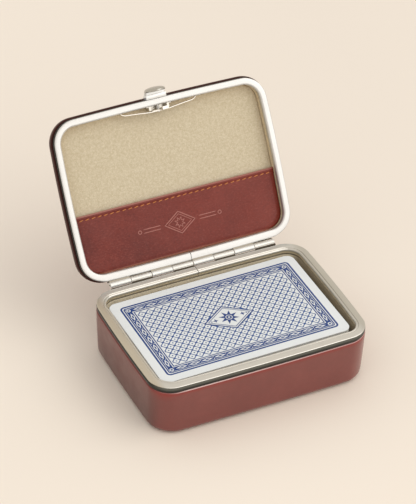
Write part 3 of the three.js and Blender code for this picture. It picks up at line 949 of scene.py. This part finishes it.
def leaf(body, first, side, matrix, material):
    """A leaf with every second knuckle, on one side of the pin."""
    low, high = sorted((side * 0.95, side * 2.85))
    parts = [box((-HINGE_HALF, -1.5, low), (HINGE_HALF, -1.0, high))]
    low, high = sorted((side * 0.2, side * 2.7))
    for i in range(first, KNUCKLES, 2):
        x0 = -HINGE_HALF + i * PITCH
        x1 = x0 + PITCH - KNUCKLE_GAP
        parts.append(prism(knuckle_section(side), x0, x1))
        parts.append(box((x0, -1.55, low), (x1, -1.02, high)))
    piece(body + "_hinge_plate", merged(*parts), body, material, "nickel", body + "_hinge_leaf",
          matrix=matrix, sharp=32, bevel=0.09, bevel_angle=50)


def hinge_pin():
    half = HINGE_HALF
    profile = [(0.0, -half - 0.28), (0.3, -half - 0.22), (0.55, -half), (0.5, -half + 0.1)]
    profile += [(r, -z) for r, z in reversed(profile)]
    shape = moved(turned(profile, 24), lambda x, y, z: (z, x, y))
    piece("hinge_wire", shape, "base", PIN_PAINTED_SHADE, "nickel", "hinge_pin", matrix=HINGE_BASE,
          sharp=50)


# Latch

def oblong(half_x, half_z, radius, y):
    """A rounded oblong about the latch's axis at one place along its travel."""
    points = rounded(half_x - radius, half_z - radius, radius, 5)
    return [(x + LATCH_X, y, LATCH_Z + z) for x, z in points]


def clasp_block():
    back, face = FRONT + 0.1, BLOCK_FACE
    rows = [oblong(*row) for row in (
        (4.75, 1.6, 0.3, back), (4.8, 1.7, 0.3, back - 0.1), (4.8, 1.7, 0.3, face + 0.14),
        (4.77, 1.67, 0.27, face + 0.04), (4.7, 1.6, 0.22, face), (4.49, 1.44, 0.2, face),
        (4.45, 1.4, 0.2, face + 0.1), (4.45, 1.4, 0.2, face + 1.6),
    )]
    piece("clasp_plate", capped(rows), "lid", NICKEL_BLOCK, "nickel", "clasp_block", sharp=50)


def push_button():
    profile = [(0, 0), (4.2, 0), (4.55, 0.08), (4.68, 0.24), (4.7, 0.42), (4.66, 0.58)]
    for degrees in (4, 10, 18, 28, 38, 48, 58, 69, 80):
        a = math.radians(degrees)
        profile.append((4.6 * math.cos(a), 0.62 + 1.28 * math.sin(a)))
    profile.append((0, 1.9))
    shape = moved(
        turned(profile, 64), lambda x, y, z: (x + 0.15, BUTTON_BACK - z, LATCH_Z + y),
    )
    piece("push_button_dome", shape, "latch", NICKEL_BUTTON, "nickel", "push_button", sharp=50)


def button_plug():
    plug = capped([
        oblong(4.35, 1.3, 0.25, BUTTON_BACK + 0.05), oblong(4.35, 1.3, 0.25, BUTTON_BACK + 1.35),
        oblong(4.23, 1.18, 0.2, BUTTON_BACK + 1.45),
    ])
    rod = moved(
        turned([(0, 0), (0.55, 0), (0.55, 8.0), (0, 8.0)], 20),
        lambda x, y, z: (x, BUTTON_BACK + 1.2 + z, LATCH_Z + y),
    )
    piece("button_stem", merged(plug, rod), "latch", NICKEL_LID, "nickel", "button_shaft",
          sharp=50)


def latch_hook():
    back = FRONT + BASE_RIM + 0.95
    rear = back + 0.45
    shape = merged(
        box((-3.4, back, 0.5), (3.4, rear, 3.2)),
        box((0.3, back, -2.8), (3.3, rear, 3.1)),
        box((0.3, back - 1.1, -2.8), (3.3, rear - 0.1, -2.1)),
    )
    piece("latch_plate", shape, "latch", NICKEL, "nickel", "latch_hook", bevel=0.12)


def clasp_guide():
    front, back = FRONT + LID_RIM - 0.1, FRONT + BASE_RIM + 0.85
    shape = merged(
        box((-4.9, front, 0.25), (-3.65, back, 3.95)),
        box((3.65, front, 0.25), (4.9, back, 3.95)),
        box((-4.8, front, 3.45), (4.8, back, 3.95)),
        box((-5.9, front, 0.3), (-4.6, front + 0.45, 1.6)),
        box((4.6, front, 0.3), (5.9, front + 0.45, 1.6)),
    )
    piece("clasp_bridge", shape, "lid", NICKEL_BRACKET, "nickel", "clasp_guide", bevel=0.14)


def leaf_spring():
    """A thin strip on edge, bowed out from the flange and turned back at its ends."""
    tip = FRONT + LID_RIM + 0.1
    path = [(x, tip + rise) for x, rise in (
        (-18.0, -0.02), (-17.6, 0.2), (-17.1, 0.55), (-16.4, 0.9), (-15.4, 1.08), (-12, 1.38),
        (-8.5, 1.74), (-6, 2.04), (-4.2, 2.2), (-2, 2.24), (0, 2.24),
    )]
    path += [(-x, y) for x, y in reversed(path[:-1])]
    thick, low, high = 0.42, 0.9, 2.5
    rows = [
        [(x, y, low), (x, y + thick, low), (x, y + thick, high), (x, y, high)] for x, y in path
    ]
    piece("spring_strip", capped(rows), "lid", STEEL, "spring_steel", "leaf_spring", sharp=40,
          bevel=0.07, bevel_angle=50)


# Deck

def card_slab(z0, z1, dx=0.0, dy=0.0, turn=0.0):
    """One card with its edges eased, shifted and turned in its place."""
    ease = min(0.05, (z1 - z0) * 0.3)
    c, s = math.cos(turn), math.sin(turn)
    rows = []
    for grow, z in ((-ease, z0), (0, z0 + ease), (0, z1 - ease), (-ease, z1)):
        radius = CARD_RADIUS + grow
        points = rounded(CARD[0] / 2 + grow - radius, CARD[1] / 2 + grow - radius, radius)
        rows.append([(dx + c * x - s * y, dy + s * x + c * y, z) for x, y in points])
    return capped(rows)


def packet(place, low, high, count, shift, seed):
    """A packet of cards that don't lie quite square."""
    rng = random.Random(seed)
    step = (high - low) / count
    parts = []
    for i in range(count):
        dx = shift[0] + rng.uniform(-0.07, 0.07)
        dy = shift[1] + rng.uniform(-0.07, 0.07)
        turn = math.radians(rng.uniform(-0.05, 0.05))
        z0 = low + i * step
        parts.append(card_slab(z0, z0 + step * 0.93, dx, dy, turn))
    piece("cards_" + place, merged(*parts), "deck", EDGES, "cards", "card_packet_" + place,
          sharp=40, loose=True)


def top_card():
    piece("top_card_stock", card_slab(TOP - 0.3, TOP), "deck", STOCK, "cards", "top_card",
          sharp=40, loose=True)


class Print:
    """Flat printed shapes at one level on the card's back."""

    def __init__(self, z):
        self.z = z
        self.limits = None
        self.verts = []
        self.faces = []

    def shape(self, points):
        start = len(self.verts)
        if self.limits:
            a, b = self.limits
            points = [(min(a, max(-a, x)), min(b, max(-b, y))) for x, y in points]
        self.verts += [(x, y, self.z) for x, y in points]
        self.faces.append(tuple(range(start, start + len(points))))

    def strip(self, outer, inner):
        """A closed strip between two outlines."""
        for i in range(len(outer)):
            k = (i + 1) % len(outer)
            self.shape([outer[i], outer[k], inner[k], inner[i]])

    def rounded(self, half_x, half_y, radius, width):
        centre_at = (half_x - radius, half_y - radius)
        self.strip(rounded(*centre_at, radius), rounded(*centre_at, max(radius - width, 0.02)))

    def frame(self, half_x, half_y, width):
        """A rectangular strip about its middle line."""
        self.strip(*(
            [(sx * (half_x + grow), sy * (half_y + grow)) for sx, sy in CORNERS]
            for grow in (width / 2, -width / 2)
        ))

    def disc(self, x, y, radius, sides):
        self.shape(arc(x, y, radius, 0, 360 * (sides - 1) / sides, sides - 1))

    def circle(self, x, y, radius, width, sides=24):
        outer = arc(x, y, radius + width / 2, 0, 360, sides)
        inner = arc(x, y, radius - width / 2, 0, 360, sides)
        for i in range(sides):
            self.shape([outer[i], outer[i + 1], inner[i + 1], inner[i]])

    def place(self, name, material):
        piece(name, (self.verts, self.faces), "deck", material, "cards", sharp=None, loose=True)


# The print on the top card, in millimetres from its middle and above its face
PRINT_X, PRINT_Y = 40.6, 24.72
CHAIN = 3.15
CHAIN_CORNER = 1.75
FIELD_X, FIELD_Y = PRINT_X - 5.65, PRINT_Y - 5.65
LOZENGE = (12.0, 8.2)
INK_LEVELS = (0.01, 0.022, 0.034)
CENTRE_LEVEL, CENTRE_STEP = 0.046, 0.012


def layers():
    """The levels of the print: a ground, the lights on it and the hearts on those."""
    return [Print(TOP + level) for level in INK_LEVELS]


def place_layers(name, ink_look, ground, paper, hearts):
    ground.place(name, ink_look)
    paper.place(name + "_lights", STOCK)
    hearts.place(name + "_hearts", ink_look)


def lozenge(layer, x, y, half_x, half_y, blunt=0.0):
    """A lozenge whose four points are cut off by a share of its size."""
    points = []
    for px, py in ((1, 0), (0, 1), (-1, 0), (0, -1)):
        for turn in (-1, 1) if blunt else (0,):
            points.append((
                x + (px * (1 - blunt) - py * turn * blunt) * half_x,
                y + (py * (1 - blunt) + px * turn * blunt) * half_y,
            ))
    layer.shape(points)


def lozenge_chain(paper, hearts, reach, level, vertical):
    """White lozenges with blue hearts along one side of the border's blue strip."""
    def at(place, side=0.0):
        return (level + side, place) if vertical else (place, level + side)

    count = max(1, round(2 * reach / 5.9))
    pitch = 2 * reach / count
    wide, high = (0.86, pitch * 0.46) if vertical else (pitch * 0.46, 0.86)
    for i in range(count):
        middle = at(-reach + (i + 0.5) * pitch)
        lozenge(paper, *middle, wide, high)
        lozenge(hearts, *middle, wide * 0.5, high * 0.5)
    for i in range(1, count):
        for side in (-0.68, 0.68):
            paper.disc(*at(-reach + i * pitch, side), 0.24, 10)


def border():
    """Two lines, a strip with chains of lozenges, and a line inside."""
    ground, paper, hearts = layers()
    ground.rounded(PRINT_X, PRINT_Y, 1.9, 0.84)
    ground.rounded(PRINT_X - 1.24, PRINT_Y - 1.24, 1.2, 0.56)
    ground.frame(PRINT_X - CHAIN, PRINT_Y - CHAIN, 2.3)
    ground.frame(PRINT_X - 4.95, PRINT_Y - 4.95, 0.5)
    x, y = PRINT_X - CHAIN, PRINT_Y - CHAIN
    for sign in (-1, 1):
        lozenge_chain(paper, hearts, x - CHAIN_CORNER, sign * y, False)
        lozenge_chain(paper, hearts, y - CHAIN_CORNER, sign * x, True)
        for other in (-1, 1):
            paper.disc(sign * x, other * y, 0.95, 20)
            hearts.disc(sign * x, other * y, 0.5, 14)
    place_layers("card_print_border", NAVY, ground, paper, hearts)


def field():
    """A blue ground with rows of blunt white lozenges, each with a small blue heart."""
    ground, paper, hearts = layers()
    ground.shape([(sx * FIELD_X, sy * FIELD_Y) for sx, sy in CORNERS])
    paper.limits = (FIELD_X, FIELD_Y)
    columns, rows = 38, 20
    step_x, step_y = 2 * FIELD_X / columns, 2 * FIELD_Y / rows
    for i in range(columns + 1):
        for j in range(rows + 1):
            x, y = -FIELD_X + i * step_x, -FIELD_Y + j * step_y
            outside = abs(x) / (LOZENGE[0] - 1) + abs(y) / (LOZENGE[1] - 1) >= 1
            if (i + j) % 2 or not outside:
                continue
            lozenge(paper, x, y, step_x * 0.84, step_y * 0.84, 0.14)
            if 0 < i < columns and 0 < j < rows:
                lozenge(hearts, x, y, 0.42, 0.42)
    place_layers("card_print_field", BLUE, ground, paper, hearts)


def centre():
    """A lozenge in four layers with an eight-pointed star and its eye."""
    levels = [TOP + CENTRE_LEVEL + CENTRE_STEP * k for k in range(5)]
    shapes = [Print(z) for z in levels]
    for layer, share in zip(shapes, (1, 0.91, 0.84, 0.79)):
        lozenge(layer, 0, 0, LOZENGE[0] * share, LOZENGE[1] * share)
    shapes[4].shape(star(0, 0, 4.6, 2.1, 8, math.pi / 8))
    for sign in (-1, 1):
        shapes[4].shape(star(sign * 6.4, 0, 1.3, 0.5, 4))
        shapes[4].disc(sign * 8.2, 0, 0.36, 10)
    for k, (layer, material) in enumerate(zip(shapes, (NAVY, STOCK, NAVY, STOCK, NAVY))):
        layer.place("card_print_centre_%d" % k, material)
    eye = Print(levels[4] + CENTRE_STEP)
    eye.circle(0, 0, 1.4, 0.34)
    eye.disc(0, 0, 0.5, 14)
    eye.place("card_print_eye", STOCK)


def boards():
    """The boards under the leather keep the shape of the CAD model."""
    for name in ("base_core", "lid_core"):
        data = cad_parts[name].data
        data.materials.clear()
        data.materials.append(BOARD)


# Surroundings, in metres from here on

def floor():
    half, level = 1500, -0.02
    verts = [(-half, -half, level), (half, -half, level), (half, half, level), (-half, half, level)]
    obj = make("table_top", (verts, [(0, 1, 2, 3)]))
    n = Nodes("table_paper")
    colour = n.ramp(n.noise(2.2, 2, 0.5), (0.3, (0.85, 0.737, 0.613)), (0.7, (0.87, 0.756, 0.63)))
    # Painted shade on the floor, darker towards the right against the key lamp's pool of light.
    colour = n.tint(colour, ((0.815, 0.707, 0.59), n.zone("X", -0.02, 0.16)))
    n.set(Base_Color=colour, Roughness=0.8, Specular_IOR_Level=0.1)
    obj.data.materials.append(n.material)


def lamp(name, place, target, size, power, colour=(1, 1, 1)):
    data = bpy.data.lights.new(name, "AREA")
    data.shape = "RECTANGLE"
    data.size, data.size_y = size
    data.energy = power
    data.color = colour
    obj = added(name, data)
    obj.location = place
    obj.rotation_mode = "QUATERNION"
    obj.rotation_quaternion = (Vector(target) - Vector(place)).to_track_quat("-Z", "Y")


def light():
    """Two soft lamps and a room whose background shows only to the camera and in gloss."""
    lamp("key", (1.33, -0.79, 1.66), (0, 0, 0.03), (1.9, 1.9), 12.25, (1.0, 0.99, 0.97))
    lamp("front", (0.5, -1.13, 0.58), (0, 0.07, 0.06), (0.9, 0.7), 2.0)
    world = bpy.data.worlds.new("room")
    bpy.context.scene.world = world
    world.use_nodes = True
    world.node_tree.nodes.clear()
    room = Tree(world.node_tree)
    rays = room.add("LightPath").outputs
    shown = room.math("MAXIMUM", rays["Is Camera Ray"], rays["Is Glossy Ray"])
    shown = room.math("MAXIMUM", shown, rays["Is Transmission Ray"])
    fill = room.add("Background", {"Color": (0.96, 0.98, 1.0), "Strength": 0.945}).outputs[0]
    seen = room.add("Background", {"Color": (0.84, 0.745, 0.64)}).outputs[0]
    both = room.add("MixShader", {0: shown, 1: fill, 2: seen}).outputs[0]
    room.add("OutputWorld", {"Surface": both})


def camera():
    """The photograph's view of the case."""
    azimuth, elevation, roll = map(math.radians, (-26.4586, 37.4620, -1.7950))
    distance, image_height = 1.22558, 504
    target = Vector((7.2637, 37.6219, 30.0)) * MM
    ahead = Vector((
        -math.sin(azimuth) * math.cos(elevation),
        math.cos(azimuth) * math.cos(elevation),
        -math.sin(elevation),
    ))
    right = ahead.cross(Vector((0, 0, 1))).normalized()
    down = ahead.cross(right)
    image_x = math.cos(roll) * right + math.sin(roll) * down
    image_y = -math.sin(roll) * right + math.cos(roll) * down
    place = target - ahead * distance
    data = bpy.data.cameras.new("camera")
    data.lens = 200.0
    data.sensor_width = 36.0
    data.shift_x = -0.5 / image_height
    data.shift_y = 0.5 / image_height
    data.clip_start, data.clip_end = 0.05, 20
    obj = added("camera", data)
    rows = [(image_x[i], -image_y[i], -ahead[i], place[i]) for i in range(3)]
    obj.matrix_world = Matrix((*rows, (0, 0, 0, 1)))
    bpy.context.scene.camera = obj


base_leather()
base_frame()
band("base", 1, HEIGHT, 0.0)
wall_lining("base", TAN_WALL, 3.2, 3.95, FLOOR_TOP, HEIGHT - BASE_FLANGE + 0.2)
floor_pad()
lid_leather()
lid_frame()
band("lid", -1, 0.0, 0.12)
wall_lining("lid", TAN, 2.3, 3.0, LID_FLANGE - 0.2, PANEL_TOP)
lid_panel()
pocket()
stitches()
embossing()
leaf("base", 1, -1, HINGE_BASE, NICKEL_HINGE)
leaf("lid", 0, 1, HINGE_LID, NICKEL_LID_HINGE)
hinge_pin()
clasp_block()
push_button()
button_plug()
latch_hook()
clasp_guide()
leaf_spring()
packet("lower", PAD_TOP + 0.1, PAD_TOP + 9.7, 30, (0.2, 0), 3)
packet("upper", PAD_TOP + 9.75, PAD_TOP + 17.27, 23, (0, 0.2), 5)
top_card()
border()
field()
centre()
boards()
floor()
light()
camera()

bpy.context.scene.view_settings.view_transform = "Standard"
